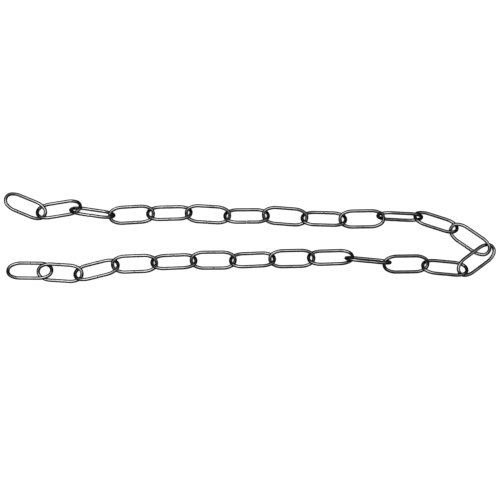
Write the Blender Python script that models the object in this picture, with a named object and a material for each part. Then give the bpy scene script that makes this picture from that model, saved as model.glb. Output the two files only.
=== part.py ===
"""A length of long-link iron wire chain: 26 loose links laid on a floor in a flat hairpin.

Every link is one closed ring of round wire: two straight legs that ease through wide shoulder
bends into a crown bent tighter at its tip. The links lie on one leg each, rolled by turns to the
left and to the right, so that each crown passes over its neighbour on one side and under it on
the other. Metres, +Z up, the floor at Z = 0.
"""

import math

import bmesh
import bpy
import numpy as np
from mathutils import Euler, Matrix, Vector

WIRE = 0.003
LINK_LENGTH = 0.042
LINK_WIDTH = 0.0175
GAP = 0.0003

# A crown's bends along the middle of its wire: a shoulder at each side and the tip between them
SHOULDER_RADIUS = 0.016
SHOULDER_TURN = math.radians(30)
TIP_TURN = math.pi - 2 * SHOULDER_TURN

# The wire's section and the steps round each bend
SIDES = 8
SHOULDER_STEPS = 2
TIP_STEPS = 6

# The roll at which most links lie, in degrees. The wire's sides are turned so that a link rolled
# this far rests on one flat of its eight-sided wire.
REST_ROLL = 25
SIDES_TURN = math.radians(REST_ROLL - 180 / SIDES)

# From a link's middle line to the middle of a leg's wire, and the tip's bend that this leaves
HALF_WIDTH = (LINK_WIDTH - WIRE) / 2
SHOULDER_DROP = SHOULDER_RADIUS * (1 - math.cos(SHOULDER_TURN))
TIP_RADIUS = (HALF_WIDTH - SHOULDER_DROP) / math.cos(SHOULDER_TURN)

# From a link's middle to the centre of its tip's bend, and to the end of a straight leg
TIP_CENTRE = (LINK_LENGTH - WIRE) / 2 - TIP_RADIUS
LEG_END = TIP_CENTRE - (SHOULDER_RADIUS - TIP_RADIUS) * math.sin(SHOULDER_TURN)

# The bends of the crown ahead, from the right leg round to the left one: centre, radius, turn
# and steps
BENDS = (
    ((LEG_END, SHOULDER_RADIUS - HALF_WIDTH), SHOULDER_RADIUS, SHOULDER_TURN, SHOULDER_STEPS),
    ((TIP_CENTRE, 0), TIP_RADIUS, TIP_TURN, TIP_STEPS),
    ((LEG_END, HALF_WIDTH - SHOULDER_RADIUS), SHOULDER_RADIUS, SHOULDER_TURN, SHOULDER_STEPS),
)

# How each link lies, from one loose end round the bend to the other, in degrees and
# millimetres: heading along the run, roll (left leg up), rise of the far crown, height of the
# lower leg above the floor, reach from the link before (None where the two are pulled tight)
# and step aside from it
LAY = (
    (-23, 20, -1, 0.3, None, 0),
    (9, -18, 1, 0.9, 30.4, 0.5),
    (-9, -55, 0, 0, 30.7, -4),
    (4, REST_ROLL, -3, 0, None, 0),
    (1, -REST_ROLL, 0, 0, None, 0),
    (-4, REST_ROLL, 0, 0, None, -0.5),
    (0, -REST_ROLL, 0, 0, None, -0.5),
    (-5, REST_ROLL, 0, 0, None, 1),
    (-2, -REST_ROLL, 0, 0, None, -0.5),
    (0, 23, 2.5, 0.9, None, 0),
    (-3, 81, -1, 0, None, 2),
    (-19, -27, 0, 0.1, None, 2),
    (-37, 27, 2, 0.2, None, -0.5),
    (-144, -17, 2, 0.1, 18.4, 5),
    (174, 27, -0.5, 0, 29.5, -0.5),
    (181, -26, 2, 0.6, None, -2),
    (174, 69, 0, 0.2, 34, -1.5),
    (181, 24, -2.5, 0.8, 33, -2),
    (-179, -REST_ROLL, 0, 0, None, 0),
    (-178, REST_ROLL, 0, 0, None, 0),
    (180, -REST_ROLL, 0, 0, None, -0.5),
    (-178, REST_ROLL, 0, 0, None, 0.5),
    (182, -REST_ROLL, 0, 0, None, 0.5),
    (-166, 20, 0, 0.3, None, 0.5),
    (176, -20, 0, 0, 32.4, -0.5),
    (179, 12, -1, 0.5, 27.1, -1),
)

# The link at the bend, which the two runs are carried by
BEND_LINK = 13

# Bare iron wire, drawn bright and gone dark grey
IRON_COLOUR = (0.16, 0.16, 0.16, 1.0)
IRON_ROUGHNESS = 0.32


def clear_scene():
    for obj in list(bpy.data.objects):
        bpy.data.objects.remove(obj, do_unlink=True)


def iron(name):
    material = bpy.data.materials.new(name)
    material.use_nodes = True
    shader = material.node_tree.nodes["Principled BSDF"]
    shader.inputs["Base Color"].default_value = IRON_COLOUR
    shader.inputs["Roughness"].default_value = IRON_ROUGHNESS
    shader.inputs["Metallic"].default_value = 1.0
    material.diffuse_color = IRON_COLOUR
    return material


def swing(mesh, section, ahead):
    """Carries the section round the crown ahead (1) or behind (-1) and returns its end."""
    for (x, y), _radius, turn, steps in BENDS:
        turned = bmesh.ops.spin(
            mesh,
            geom=section,
            cent=(x * ahead, y * ahead, 0),
            axis=(0, 0, 1),
            angle=turn,
            steps=steps,
            use_duplicate=False,
        )
        section = turned["geom_last"]
    return section


def draw_out(mesh, section, offset):
    """Carries the section along a straight leg and returns the section at its end."""
    edges = [item for item in section if isinstance(item, bmesh.types.BMEdge)]
    drawn = bmesh.ops.extrude_edge_only(mesh, edges=edges)["geom"]
    points = [item for item in drawn if isinstance(item, bmesh.types.BMVert)]
    bmesh.ops.translate(mesh, verts=points, vec=offset)
    ring = set(points)
    ends = [
        item
        for item in drawn
        if isinstance(item, bmesh.types.BMEdge) and ring.issuperset(item.verts)
    ]
    return points + ends


def link_mesh():
    """One ring of wire lying in its own XY plane, its long axis along X."""
    mesh = bmesh.new()
    first = bmesh.ops.create_circle(mesh, cap_ends=False, segments=SIDES, radius=WIRE / 2)
    upright = Matrix.Rotation(-SIDES_TURN, 4, "X") @ Matrix.Rotation(math.pi / 2, 4, "Y")
    start = Matrix.Translation((LEG_END, -HALF_WIDTH, 0)) @ upright
    bmesh.ops.transform(mesh, matrix=start, verts=first["verts"])
    section = list(mesh.verts) + list(mesh.edges)
    section = swing(mesh, section, 1)
    section = draw_out(mesh, section, (-2 * LEG_END, 0, 0))
    section = swing(mesh, section, -1)
    draw_out(mesh, section, (2 * LEG_END, 0, 0))
    bmesh.ops.remove_doubles(mesh, verts=mesh.verts, dist=WIRE / 1000)
    bmesh.ops.recalc_face_normals(mesh, faces=mesh.faces)
    data = bpy.data.meshes.new("link")
    mesh.to_mesh(data)
    mesh.free()
    data.shade_smooth()
    return data


def middle_line():
    """The corners of the middle line of a link's wire, in the link's own frame."""
    ahead = [(LEG_END, -HALF_WIDTH, 0)]
    heading = -math.pi / 2
    for (x, y), radius, turn, steps in BENDS:
        for angle in np.linspace(heading, heading + turn, steps + 1)[1:]:
            ahead.append((x + radius * math.cos(angle), y + radius * math.sin(angle), 0))
        heading += turn
    ahead = np.array(ahead)
    return np.vstack([ahead, ahead * (-1, -1, 1)])


def clearance(one, other):
    """The gap between two wires, from points along each middle line to the sides of the other."""
    nearest = math.inf
    for line, target in ((one, other), (other, one)):
        step = np.roll(line, -1, axis=0) - line
        points = np.vstack([line + step * share for share in (0, 0.2, 0.4, 0.6, 0.8)])
        side = np.roll(target, -1, axis=0) - target
        along = points[:, None] - target
        share = np.clip((along * side).sum(2) / (side * side).sum(1), 0, 1)
        apart = along - share[..., None] * side
        nearest = min(nearest, math.sqrt((apart * apart).sum(2).min()))
    return nearest - WIRE


def direction(heading):
    return Vector((math.cos(math.radians(heading)), math.sin(math.radians(heading)), 0))


def turn_of(heading, roll, rise):
    angles = (math.radians(roll), -math.radians(rise), math.radians(heading))
    return Euler(angles, "XYZ").to_matrix()


def placed(points, centre, turn):
    return points @ np.array(turn).T + np.array(centre)


def tight_reach(start, ahead, turn, line_before):
    """The longest reach at which a link's wire still clears the wire before it, by halving."""
    near = LINK_LENGTH / 2
    far = LINK_LENGTH
    reach = LINK_LENGTH - 2 * WIRE
    while far - near > GAP / 100:
        line = placed(middle_line(), start + ahead * reach, turn)
        if clearance(line, line_before) < GAP:
            far = reach
        else:
            near = reach
        reach = (near + far) / 2
    return near


def lay_links(mesh):
    """The centre and turn of each link, each set down against the one before."""
    corners = [vert.co for vert in mesh.vertices]
    poses = []
    for number, (heading, roll, rise, lift, reach, aside) in enumerate(LAY):
        turn = turn_of(heading, roll, rise)
        height = lift / 1000 - min((turn @ corner).z for corner in corners)
        start = Vector((0, 0, height))
        if poses:
            last_centre, last_turn = poses[-1]
            ahead = (direction(LAY[number - 1][0]) + direction(heading)).normalized()
            left = Vector((-ahead.y, ahead.x, 0))
            start += last_centre.to_2d().to_3d() + left * aside / 1000
            if reach is None:
                line_before = placed(middle_line(), last_centre, last_turn)
                start += ahead * tight_reach(start, ahead, turn, line_before)
            else:
                start += ahead * reach / 1000
        poses.append((start, turn))
    return poses


def centred(poses, mesh):
    """The same lay with the middle of its box over the origin."""
    corners = [vert.co for vert in mesh.vertices]
    spread = [centre + turn @ corner for centre, turn in poses for corner in corners]
    low = Vector(min(point[axis] for point in spread) for axis in range(3))
    high = Vector(max(point[axis] for point in spread) for axis in range(3))
    foot = Vector(((low.x + high.x) / 2, (low.y + high.y) / 2, low.z))
    return [(centre - foot, turn) for centre, turn in poses]


def swivel_point(pose, next_pose):
    """Midway between the centres of the two tips that are threaded through each other."""
    centre, turn = pose
    next_centre, next_turn = next_pose
    tip = centre + turn @ Vector((TIP_CENTRE, 0, 0))
    next_tip = next_centre + next_turn @ Vector((-TIP_CENTRE, 0, 0))
    return (tip + next_tip) / 2


def add_object(name, data, location, turn):
    obj = bpy.data.objects.new(name, data)
    obj.location = location
    obj.rotation_euler = turn.to_euler()
    bpy.context.scene.collection.objects.link(obj)
    return obj


def carry(child, parent):
    """Parents the child where it stands."""
    bpy.context.view_layer.update()
    child.parent = parent
    child.matrix_parent_inverse = parent.matrix_world.inverted()


def build():
    clear_scene()
    mesh = link_mesh()
    mesh.materials.append(iron("iron_wire"))
    poses = centred(lay_links(mesh), mesh)
    links = [add_object(f"link_{n:02d}", mesh, *pose) for n, pose in enumerate(poses, 1)]
    back_run = range(BEND_LINK - 2, -1, -1)
    front_run = range(BEND_LINK, len(links))
    for run, step in ((back_run, 1), (front_run, -1)):
        for index in run:
            first, second = sorted((index, index + step))
            point = swivel_point(poses[first], poses[second])
            swivel = add_object(f"swivel_{index + 1:02d}", None, point, Matrix.Identity(3))
            carry(links[index], swivel)
            carry(swivel, links[index + step])


build()
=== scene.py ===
import math
import random

import bpy
import numpy as np
from mathutils import Matrix, Vector


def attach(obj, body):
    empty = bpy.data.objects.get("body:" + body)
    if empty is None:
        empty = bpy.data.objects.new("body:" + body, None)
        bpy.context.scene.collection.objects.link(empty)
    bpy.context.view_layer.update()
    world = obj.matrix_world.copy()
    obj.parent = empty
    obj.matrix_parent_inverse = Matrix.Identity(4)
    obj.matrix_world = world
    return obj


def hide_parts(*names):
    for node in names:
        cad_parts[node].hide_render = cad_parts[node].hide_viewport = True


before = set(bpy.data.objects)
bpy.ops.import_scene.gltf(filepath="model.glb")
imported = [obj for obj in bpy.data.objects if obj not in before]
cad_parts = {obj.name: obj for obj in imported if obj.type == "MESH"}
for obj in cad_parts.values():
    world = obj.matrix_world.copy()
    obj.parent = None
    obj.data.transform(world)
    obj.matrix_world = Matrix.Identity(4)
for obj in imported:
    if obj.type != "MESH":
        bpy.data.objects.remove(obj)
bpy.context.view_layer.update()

print("frame loaded with", len(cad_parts), "links")


# colours and nodes

def colour(hexCode):
    # sRGB hex to the linear values that shaders take
    parts = [int(hexCode[i:i + 2], 16) / 255 for i in (1, 3, 5)]
    return [c / 12.92 if c <= 0.04045 else ((c + 0.055) / 1.055) ** 2.4 for c in parts] + [1]


def addNode(tree, kind, inputs=None, **settings):
    # inputs holds values and links by socket name or number
    node = tree.nodes.new(kind)
    for key, value in settings.items():
        setattr(node, key, value)
    for key, value in (inputs or {}).items():
        if isinstance(value, bpy.types.NodeSocket):
            tree.links.new(value, node.inputs[key])
        else:
            node.inputs[key].default_value = value
    return node


def newMaterial(name):
    material = bpy.data.materials.new(name)
    material.use_nodes = True
    tree = material.node_tree
    tree.nodes.clear()
    return material, tree


# bare iron wire: drawn through a die, so faint lines run along it, then bent cold and gone dark
# grey with a thin oxide that is rubbed off where links touch; painted shade darkens the crowns

ironWire = {
    "bright": "#8E8E8E",
    "oxide": "#565656",
    "patch": 0.009,          # size of the bright and oxidised patches
    "patchDetail": 4,
    "patchRoughness": 0.62,
    "patchRange": (0.1, 0.6),      # of the noise, from all oxide to all bright
    # painted shade: the crowns are darker, where the links' joints fall into shade
    "crown": "#3A3A3A",
    "crownShadeShare": 0.2,
    "rubbed": "#B4B4B4",
    "rubbedRoughness": 0.16,
    "lineWidth": 0.00035,    # across the wire, coarser than the real ones so that they show
    "lineLength": 0.03,
    "lineDetail": 2,
    "lineRange": (0.3, 0.7),       # of the noise, from the smoothest to the roughest
    "roughness": (0.16, 0.24),
    "dent": 0.000006,        # depth of the lines
    "dentStrength": 0.04,
}


def ironWireMaterial(look):
    material, tree = newMaterial("drawnIronWire")
    place = addNode(tree, "ShaderNodeAttribute", attribute_name="wirePlace").outputs["Vector"]
    bend = addNode(tree, "ShaderNodeAttribute", attribute_name="bend").outputs["Fac"]
    rub = addNode(tree, "ShaderNodeAttribute", attribute_name="rub").outputs["Fac"]

    along = (1 / look["lineLength"], 1 / look["lineWidth"], 1 / look["lineWidth"])
    lineSpace = addNode(tree, "ShaderNodeMapping", {"Vector": place, "Scale": along})
    lines = addNode(tree, "ShaderNodeTexNoise", {
        "Vector": lineSpace.outputs[0], "Scale": 1, "Detail": look["lineDetail"],
    }).outputs["Fac"]
    patches = addNode(tree, "ShaderNodeTexNoise", {
        "Vector": place, "Scale": 1 / look["patch"],
        "Detail": look["patchDetail"], "Roughness": look["patchRoughness"],
    }).outputs["Fac"]

    oxideEnd, brightEnd = look["patchRange"]
    worn = addNode(tree, "ShaderNodeMapRange", {
        "Value": patches, "From Min": oxideEnd, "From Max": brightEnd,
    }).outputs["Result"]
    base = addNode(tree, "ShaderNodeMix", {
        0: worn, 6: colour(look["oxide"]), 7: colour(look["bright"]),
    }, data_type="RGBA").outputs[2]
    # painted shade: mixes the crowns towards a dark grey, by how far into the crown each point lies
    crown = addNode(tree, "ShaderNodeMath", {
        0: bend, 1: look["crownShadeShare"],
    }, operation="MULTIPLY").outputs[0]
    for share, tone in ((crown, "crown"), (rub, "rubbed")):
        base = addNode(tree, "ShaderNodeMix", {
            0: share, 6: base, 7: colour(look[tone]),
        }, data_type="RGBA").outputs[2]

    smoothEnd, roughEnd = look["lineRange"]
    smoothest, roughest = look["roughness"]
    rough = addNode(tree, "ShaderNodeMapRange", {
        "Value": lines, "From Min": smoothEnd, "From Max": roughEnd,
        "To Min": smoothest, "To Max": roughest,
    }).outputs["Result"]
    rough = addNode(tree, "ShaderNodeMix", {
        0: rub, 2: rough, 3: look["rubbedRoughness"],
    }).outputs[0]
    bump = addNode(tree, "ShaderNodeBump", {
        "Height": lines, "Strength": look["dentStrength"], "Distance": look["dent"],
    }).outputs[0]

    shader = addNode(tree, "ShaderNodeBsdfPrincipled", {
        "Base Color": base, "Metallic": 1, "Roughness": rough, "Normal": bump,
    })
    addNode(tree, "ShaderNodeOutputMaterial", {"Surface": shader.outputs[0]})
    return material


# one link: a wire that starts and ends in the middle of a leg, lying along X with that leg
# to the front

linkShape = {
    "wire": 0.00294,         # drawn wire runs a little under its nominal 3 mm
    "length": 0.04194,
    "width": 0.01744,
    "shoulderRadius": 0.016,
    "shoulderTurn": 30,      # degrees from the leg to where the tip's tighter bend starts
    "sides": 32,
    "shoulderSteps": 5,
    "tipSteps": 18,
    "halfLegSteps": 4,
    "chamfer": 0.00018,      # round the cropped ends
    "springReach": 0.011,    # how far along the leg the spring of its ends fades out
    "merge": 0.000001,       # points nearer than this are one
    "smoothAngle": 30,
    "rubAngle": 45,          # degrees of tip that the next link rubs
    "rubFrom": 0.3,          # share of the wire's radius, inwards from its middle
    "crownShadeFrom": 0.0135,     # past this from the middle the crowns get painted shade
    "crownShadeOver": 0.004,
}


def selectOnly(thing, points):
    # in object mode: selects the points, and the edges and faces that they make up
    mesh = thing.data
    chosen = set(points)
    for vertex in mesh.vertices:
        vertex.select = vertex.index in chosen
    for edge in mesh.edges:
        edge.select = all(v in chosen for v in edge.vertices)
    for face in mesh.polygons:
        face.select = all(v in chosen for v in face.vertices)


def crownSizes(shape):
    # along the middle of the wire: half width, tip's radius and centre, end of the straight leg
    halfWidth = (shape["width"] - shape["wire"]) / 2
    turn = math.radians(shape["shoulderTurn"])
    wide = shape["shoulderRadius"]
    tipRadius = (halfWidth - wide * (1 - math.cos(turn))) / math.cos(turn)
    tipCentre = (shape["length"] - shape["wire"]) / 2 - tipRadius
    legEnd = tipCentre - (wide - tipRadius) * math.sin(turn)
    return halfWidth, tipRadius, tipCentre, legEnd


def pullWire(step, times):
    for _ in range(times):
        bpy.ops.mesh.extrude_region_move(TRANSFORM_OT_translate={"value": (step, 0, 0)})


def bendCrown(shape, ahead):
    # shoulder, tip and shoulder, round the crown ahead (1) or behind (-1)
    halfWidth, _, tipCentre, legEnd = crownSizes(shape)
    turn = math.radians(shape["shoulderTurn"])
    shoulderCentre = shape["shoulderRadius"] - halfWidth
    bends = (
        (legEnd, shoulderCentre, turn, shape["shoulderSteps"]),
        (tipCentre, 0, math.pi - 2 * turn, shape["tipSteps"]),
        (legEnd, -shoulderCentre, turn, shape["shoulderSteps"]),
    )
    for x, y, angle, steps in bends:
        bpy.ops.mesh.spin(
            steps=steps, angle=-angle, center=(x * ahead, y * ahead, 0), axis=(0, 0, 1),
        )


def bendWire(shape, name, start):
    # a circle of wire pulled and bent from one side of the seam round the link to the other
    halfWidth, _, _, legEnd = crownSizes(shape)
    steps = shape["halfLegSteps"]
    bpy.ops.object.select_all(action="DESELECT")
    bpy.ops.mesh.primitive_circle_add(
        vertices=shape["sides"], radius=shape["wire"] / 2, fill_type="NOTHING",
        location=(start, -halfWidth, 0), rotation=(0, math.pi / 2, 0),
    )
    link = bpy.context.object
    link.name = name
    bpy.ops.object.transform_apply()
    bpy.ops.object.mode_set(mode="EDIT")
    bpy.ops.mesh.select_mode(type="EDGE")
    bpy.ops.mesh.select_all(action="SELECT")
    pullWire((legEnd - start) / steps, steps)
    bendCrown(shape, 1)
    pullWire(-legEnd / steps, steps * 2)
    bendCrown(shape, -1)
    pullWire((legEnd - start) / steps, steps)
    bpy.ops.object.mode_set(mode="OBJECT")
    return link


def closeEnds(link, shape):
    # closes both cropped ends and chamfers them
    bpy.ops.object.mode_set(mode="EDIT")
    bpy.ops.mesh.select_all(action="SELECT")
    bpy.ops.mesh.remove_doubles(threshold=shape["merge"])
    bpy.ops.mesh.fill_holes(sides=0)
    bpy.ops.mesh.normals_make_consistent(inside=False)
    bpy.ops.object.mode_set(mode="OBJECT")
    ends = [f for f in link.data.polygons if len(f.vertices) == shape["sides"]]
    selectOnly(link, [v for f in ends for v in f.vertices])
    bpy.ops.object.mode_set(mode="EDIT")
    bpy.ops.mesh.select_mode(type="FACE")
    bpy.ops.mesh.inset(thickness=shape["chamfer"], depth=shape["chamfer"])
    bpy.ops.object.mode_set(mode="OBJECT")


def springEnds(link, shape, start, spring):
    # moves the ends a little apart, one up and one down
    for side in (1, -1):
        end = [
            v.index for v in link.data.vertices
            if v.co.y < 0 and 0 < v.co.x * side < start + shape["merge"]
        ]
        selectOnly(link, end)
        bpy.ops.object.mode_set(mode="EDIT")
        bpy.ops.transform.translate(
            value=(0, 0, side * spring),
            use_proportional_edit=True, use_proportional_connected=True,
            proportional_edit_falloff="SMOOTH", proportional_size=shape["springReach"],
        )
        bpy.ops.object.mode_set(mode="OBJECT")


def alongWire(x, y, shape):
    # on the half of the link ahead: the run from the middle of the front leg, how far out from
    # the middle of the wire, the angle from the tip, and the run in all
    halfWidth, tipRadius, tipCentre, legEnd = crownSizes(shape)
    wide = shape["shoulderRadius"]
    most = math.radians(shape["shoulderTurn"])
    halfLoop = 2 * (legEnd + wide * most) + tipRadius * (math.pi - 2 * most)
    past = x - legEnd
    fromCentre = wide - halfWidth + abs(y)
    turn = math.atan2(past, fromCentre)
    if past <= 0:
        run, out, angle = x, abs(y) - halfWidth, math.pi / 2
    elif turn < most:
        run, out, angle = legEnd + turn * wide, math.hypot(past, fromCentre) - wide, math.pi / 2
    else:
        angle = abs(math.atan2(y, x - tipCentre))
        run = halfLoop / 2 - angle * tipRadius
        out = math.hypot(x - tipCentre, y) - tipRadius
    return run if y < 0 else halfLoop - run, out, angle, halfLoop


def markWire(link, shape):
    # each point's place on the wire as if it were straight, how far into the crown's painted shade
    # it lies, and how rubbed it is there
    radius = shape["wire"] / 2
    place, bend, rub = [], [], []
    for vertex in link.data.vertices:
        x, y, z = vertex.co
        run, out, angle, halfLoop = alongWire(abs(x), y, shape)
        if x < 0:
            run = 2 * halfLoop - run
        place += [run, out, z]
        # painted shade of the crowns, fading in towards the ends of the link
        bend.append(min(1, max(0, (abs(x) - shape["crownShadeFrom"]) / shape["crownShadeOver"])))
        nearTip = max(0, 1 - angle / math.radians(shape["rubAngle"]))
        inwards = max(0, -out / radius - shape["rubFrom"]) / (1 - shape["rubFrom"])
        rub.append(nearTip * inwards)
    mesh = link.data
    mesh.attributes.new("wirePlace", "FLOAT_VECTOR", "POINT").data.foreach_set("vector", place)
    mesh.attributes.new("bend", "FLOAT", "POINT").data.foreach_set("value", bend)
    mesh.attributes.new("rub", "FLOAT", "POINT").data.foreach_set("value", rub)


def modelLink(shape, name, seam, spring):
    start = seam / 2 + shape["chamfer"]
    link = bendWire(shape, name, start)
    closeEnds(link, shape)
    springEnds(link, shape, start, spring)
    markWire(link, shape)
    bpy.ops.object.shade_smooth_by_angle(angle=math.radians(shape["smoothAngle"]))
    return link


# the lay: each link is set in the place of its CAD node

chainLay = {
    "links": 26,
    "tightSeam": 0.00009,
    "tightSpring": 0.00005,
    "openSeam": 0.00024,
    "openSpring": 0.000075,
    "openLinks": (3, 6, 7, 22),      # joints that have sprung open, as the photo shows
    "backSeam": (9, 22, 25, 26),     # seam on the leg to the back, else on the front one
    "twist": 0.8,                    # most degrees, end to end
    "twistSeed": 26,
    "wireStep": 0.13,                # more than a link's wire, so that no two look the same
}


def nodePlace(name):
    # the middle of a CAD link, its axes (along it, across it and square to both) and its foot
    points = np.array([v.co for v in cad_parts[name].data.vertices])
    points = np.unique(np.round(points, 7), axis=0)
    middle = points.mean(0)
    spread = np.linalg.svd(points - middle, full_matrices=False)[2]
    along, up = Vector(spread[0]), Vector(spread[2])
    if along.x < 0:
        along = -along
    if up.z < 0:
        up = -up
    axes = Matrix((along, up.cross(along), up)).transposed()
    return Vector(middle), axes, float(points[:, 2].min())


def twistLink(piece, degrees):
    bpy.ops.object.select_all(action="DESELECT")
    piece.select_set(True)
    bpy.context.view_layer.objects.active = piece
    twist = piece.modifiers.new("twist", "SIMPLE_DEFORM")
    twist.deform_method = "TWIST"
    twist.deform_axis = "X"
    twist.angle = math.radians(degrees)
    bpy.ops.object.modifier_apply(modifier="twist")


def setDown(piece, node, seamBehind):
    # in the place of its CAD node, and nowhere below it
    middle, axes, foot = nodePlace(node)
    turn = axes.to_4x4()
    if seamBehind:
        turn = turn @ Matrix.Rotation(math.pi, 4, "Z")
    piece.data.transform(Matrix.Translation(middle) @ turn)
    lowest = min(v.co.z for v in piece.data.vertices)
    piece.data.transform(Matrix.Translation((0, 0, max(0, foot - lowest))))


def layLinks(lay, shape, material):
    tight = modelLink(shape, "tightLink", lay["tightSeam"], lay["tightSpring"])
    sprung = modelLink(shape, "openLink", lay["openSeam"], lay["openSpring"])
    chance = random.Random(lay["twistSeed"])
    for number in range(1, lay["links"] + 1):
        node = f"link_{number:02d}"
        pattern = sprung if number in lay["openLinks"] else tight
        piece = bpy.data.objects.new(f"wireLink_{number:02d}", pattern.data.copy())
        bpy.context.scene.collection.objects.link(piece)
        twistLink(piece, chance.uniform(-1, 1) * lay["twist"])
        setDown(piece, node, number in lay["backSeam"])
        for item in piece.data.attributes["wirePlace"].data:
            item.vector.x += number * lay["wireStep"]
        piece.data.materials.append(material)
        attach(piece, node)
        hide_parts(node)
    for pattern in (tight, sprung):
        bpy.data.objects.remove(pattern)


layLinks(chainLay, linkShape, ironWireMaterial(ironWire))
print("links modelled and laid")


# studio: white floor, and soft light overhead that is brightest above the chain's left half

studio = {
    "floorSize": 8.0,
    "floorWhite": "#F2F2F2",
    "floorGlow": 0.85,       # of its own, so that no shadow shows
    "backdrop": 1,           # as the camera sees it
    "surroundings": 0.09,    # as the wire mirrors them
    "washHeight": 2.4,
    "washSize": 5.0,
    "washPower": 30,
    "panelHeight": 1.1,
    "panels": {              # middle, size and power per square metre
        "softBox": ((-0.365, -0.02), (0.53, 1.12), 14.3),
        "frontLeftPanel": ((-0.52, -0.69), (0.45, 0.22), 8),
        "middlePanel": ((0.075, -0.02), (0.35, 1.12), 9.5),
        "rightPanel": ((0.8, -0.02), (1.1, 0.95), 5),
        "farLeftPanel": ((-0.915, -0.02), (0.57, 1.12), 3.5),
    },
    "gamma": 0.75,
}


def makeFloor(setting):
    bpy.ops.object.select_all(action="DESELECT")
    bpy.ops.mesh.primitive_plane_add(size=setting["floorSize"], location=(0, 0, 0))
    floor = bpy.context.object
    floor.name = "whiteFloor"
    material, tree = newMaterial("matteWhitePaper")
    paper = addNode(tree, "ShaderNodeBsdfDiffuse", {"Color": colour(setting["floorWhite"])})
    glow = addNode(tree, "ShaderNodeEmission", {
        "Color": (1, 1, 1, 1), "Strength": setting["floorGlow"],
    })
    both = addNode(tree, "ShaderNodeAddShader", {0: paper.outputs[0], 1: glow.outputs[0]})
    addNode(tree, "ShaderNodeOutputMaterial", {"Surface": both.outputs[0]})
    floor.data.materials.append(material)
    floor.visible_glossy = False     # the wire mirrors dark surroundings, as in the photo


def areaLight(name, place, size, power):
    # lies level and shines down
    data = bpy.data.lights.new(name, "AREA")
    data.shape = "RECTANGLE"
    data.size, data.size_y = size
    data.energy = power
    light = bpy.data.objects.new(name, data)
    bpy.context.scene.collection.objects.link(light)
    light.location = place
    return light


def makeLights(setting):
    # the wash lights the floor alone, and the panels are what the wire mirrors
    washSize = (setting["washSize"], setting["washSize"])
    wash = areaLight("ceilingWash", (0, 0, setting["washHeight"]), washSize, setting["washPower"])
    wash.visible_glossy = False
    for name, ((x, y), size, perArea) in setting["panels"].items():
        power = size[0] * size[1] * perArea
        panel = areaLight(name, (x, y, setting["panelHeight"]), size, power)
        panel.visible_diffuse = False


def makeSurroundings(setting):
    world = bpy.data.worlds.new("studio")
    world.use_nodes = True
    tree = world.node_tree
    tree.nodes.clear()
    seen = addNode(tree, "ShaderNodeLightPath").outputs["Is Camera Ray"]
    white, dark = (
        addNode(tree, "ShaderNodeBackground", {"Color": (1, 1, 1, 1), "Strength": setting[part]})
        for part in ("backdrop", "surroundings")
    )
    mixed = addNode(tree, "ShaderNodeMixShader", {0: seen, 1: dark.outputs[0], 2: white.outputs[0]})
    addNode(tree, "ShaderNodeOutputWorld", {"Surface": mixed.outputs[0]})
    bpy.context.scene.world = world


# camera: high in front of the chain, as in the photo

lens = {
    "azimuth": -0.375,
    "elevation": 77,
    "distance": 0.8435,
    "focal": 947.3,          # in pixels
    "picture": 500,          # width, in pixels
    "sensor": 36,            # width, in millimetres
    "lookAt": (0.0012, -0.013, 0.005),
}


def makeCamera(setting):
    data = bpy.data.cameras.new("camera")
    data.sensor_width = setting["sensor"]
    data.lens = setting["focal"] / setting["picture"] * setting["sensor"]
    camera = bpy.data.objects.new("camera", data)
    bpy.context.scene.collection.objects.link(camera)
    turn = math.radians(setting["azimuth"])
    rise = math.radians(setting["elevation"])
    level = math.cos(rise)
    back = Vector((math.sin(turn) * level, -math.cos(turn) * level, math.sin(rise)))
    camera.location = Vector(setting["lookAt"]) + back * setting["distance"]
    camera.rotation_euler = (-back).to_track_quat("-Z", "Y").to_euler()
    bpy.context.scene.camera = camera


makeFloor(studio)
makeLights(studio)
makeSurroundings(studio)
makeCamera(lens)
bpy.context.scene.view_settings.view_transform = "Standard"
bpy.context.scene.view_settings.gamma = studio["gamma"]
print("studio and camera set")
